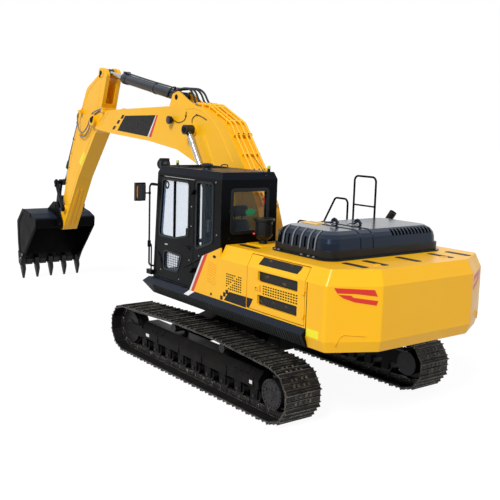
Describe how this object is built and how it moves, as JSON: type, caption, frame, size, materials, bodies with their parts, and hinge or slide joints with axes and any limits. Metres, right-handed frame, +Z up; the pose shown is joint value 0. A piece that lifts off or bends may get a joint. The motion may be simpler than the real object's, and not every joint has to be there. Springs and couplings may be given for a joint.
{
  "type": "crawler excavator",
  "caption": "Hydraulic crawler excavator with turning upper structure, boom, arm, tilting bucket and opening doors.",
  "frame": {"origin": "on the ground under the slew axis", "axes": "+X forward over the boom, +Y to the left (cab side), +Z up"},
  "size_m": [12.3895, 3.37, 5.04],
  "materials": {
    "yellow_paint": "gloss industrial yellow",
    "black_paint": "satin black",
    "track_steel": "dark worn steel",
    "cast_steel": "dark cast steel",
    "chrome_rod": "polished chrome",
    "barrel_paint": "dark grey paint",
    "black_plastic": "moulded black",
    "window_glass": "clear tinted",
    "seat_fabric": "dark woven",
    "engine_iron": "grey cast"
  },
  "bodies": {
    "undercarriage": {"centre_frame": "black_paint", "slew_ring": "cast_steel", "track_frame_left": "black_paint", "track_frame_right": "black_paint", "track_left": "track_steel", "track_right": "track_steel", "sprockets": "cast_steel", "idlers": "cast_steel", "bottom_rollers": "cast_steel", "carrier_rollers": "cast_steel"},
    "upper_structure": {"upper_frame": "black_paint", "side_rails": "black_paint", "counterweight": "yellow_paint", "bodywork": "yellow_paint", "left_front_panel": "yellow_paint", "engine": "engine_iron", "pre_cleaner": "black_plastic", "exhaust": "black_paint", "tank": "yellow_paint", "tool_box": "yellow_paint", "handrails": "black_paint", "cab_shell": "black_paint", "cab_glazing": "window_glass", "cab_seat": "seat_fabric", "cab_controls": "black_plastic", "roof_lamps": "black_plastic", "mirror_left": "black_plastic"},
    "cab_door_body": {"cab_door": "black_paint", "cab_door_glass": "window_glass"},
    "left_door": {"door_left": "yellow_paint"},
    "right_door": {"door_right": "yellow_paint"},
    "hood_body": {"hood": "black_plastic"},
    "boom_body": {"boom": "yellow_paint", "boom_pipes": "yellow_paint"},
    "boom_barrels": {"boom_cylinder_barrels": "black_paint"},
    "boom_rods": {"boom_cylinder_rods": "chrome_rod"},
    "arm_body": {"arm": "yellow_paint"},
    "arm_barrel": {"arm_cylinder_barrel": "barrel_paint"},
    "arm_rod": {"arm_cylinder_rod": "chrome_rod"},
    "rocker_body": {"rocker": "black_paint"},
    "link_body": {"bucket_link": "black_paint"},
    "bucket_body": {"bucket": "black_paint", "bucket_teeth": "cast_steel"},
    "bucket_barrel": {"bucket_cylinder_barrel": "barrel_paint"},
    "bucket_rod": {"bucket_cylinder_rod": "chrome_rod"}
  },
  "joints": [
    {"name": "slew", "type": "hinge", "parent": "undercarriage", "child": "upper_structure", "pos_m": [0, 0, 1.11], "axis": [0, 0, 1], "continuous": true},
    {"name": "boom_lift", "type": "hinge", "parent": "upper_structure", "child": "boom_body", "pos_m": [0.1, 0, 2.1], "axis": [0, -1, 0], "range_deg": [-48, 40]},
    {"name": "arm_swing", "type": "hinge", "parent": "boom_body", "child": "arm_body", "pos_m": [5.97, 0, 3.94], "axis": [0, 1, 0], "range_deg": [-34, 70]},
    {"name": "bucket_tilt", "type": "hinge", "parent": "arm_body", "child": "bucket_body", "pos_m": [7.81, 0, 1.46], "axis": [0, 1, 0], "range_deg": [-14, 148]},
    {"name": "cab_door_swing", "type": "hinge", "parent": "upper_structure", "child": "cab_door_body", "pos_m": [0.05, 1.525, 1.48], "axis": [0, 0, 1], "range_deg": [0, 170]},
    {"name": "left_door_swing", "type": "hinge", "parent": "upper_structure", "child": "left_door", "pos_m": [-2.555, 1.522, 1.465], "axis": [0, 0, 1], "range_deg": [0, 100]},
    {"name": "right_door_swing", "type": "hinge", "parent": "upper_structure", "child": "right_door", "pos_m": [-0.9, -1.522, 1.465], "axis": [0, 0, 1], "range_deg": [0, 110]},
    {"name": "hood_lift", "type": "hinge", "parent": "upper_structure", "child": "hood_body", "pos_m": [-1.224, 0, 2.237], "axis": [0, 1, 0], "range_deg": [0, 50]},
    {"name": "boom_barrel_turn", "type": "hinge", "parent": "upper_structure", "child": "boom_barrels", "pos_m": [0.65, 0, 1.75], "axis": [0, -1, 0], "range_deg": [-50.1, 41.9]},
    {"name": "boom_rod_slide", "type": "slide", "parent": "boom_barrels", "child": "boom_rods", "axis": [0.5602, 0, 0.8283], "range_m": [-0.488, 0.407]},
    {"name": "arm_barrel_turn", "type": "hinge", "parent": "boom_body", "child": "arm_barrel", "pos_m": [2.76, 0, 4.4], "axis": [0, 1, 0], "range_deg": [-3.3, 5.7]},
    {"name": "arm_rod_slide", "type": "slide", "parent": "arm_barrel", "child": "arm_rod", "axis": [0.9843, 0, 0.1767], "range_m": [-0.535, 1.097]},
    {"name": "rocker_turn", "type": "hinge", "parent": "arm_body", "child": "rocker_body", "pos_m": [7.57, 0, 1.87], "axis": [0, 1, 0], "range_deg": [-10.8, 104.6]},
    {"name": "link_turn", "type": "hinge", "parent": "rocker_body", "child": "link_body", "pos_m": [7.94, 0, 2.46], "axis": [0, 1, 0], "range_deg": [-64.7, 7]},
    {"name": "bucket_barrel_turn", "type": "hinge", "parent": "arm_body", "child": "bucket_barrel", "pos_m": [7.05, 0, 4.02], "axis": [0, 1, 0], "range_deg": [-1.5, 6.5]},
    {"name": "bucket_rod_slide", "type": "slide", "parent": "bucket_barrel", "child": "bucket_rod", "axis": [0.4955, 0, -0.8686], "range_m": [-0.107, 1.104]}
  ],
  "couplings": [
    {"joint": "boom_barrel_turn", "follows": "boom_lift", "ratio": 1.0235},
    {"joint": "boom_rod_slide", "follows": "boom_lift", "m_per_rad": 0.579},
    {"joint": "arm_barrel_turn", "follows": "arm_swing", "ratio": 0.0665},
    {"joint": "arm_rod_slide", "follows": "arm_swing", "m_per_rad": 0.8957},
    {"joint": "rocker_turn", "follows": "bucket_tilt", "ratio": 0.7},
    {"joint": "link_turn", "follows": "bucket_tilt", "ratio": -0.4304},
    {"joint": "bucket_barrel_turn", "follows": "bucket_tilt", "ratio": 0.0374},
    {"joint": "bucket_rod_slide", "follows": "bucket_tilt", "m_per_rad": 0.4264}
  ]
}
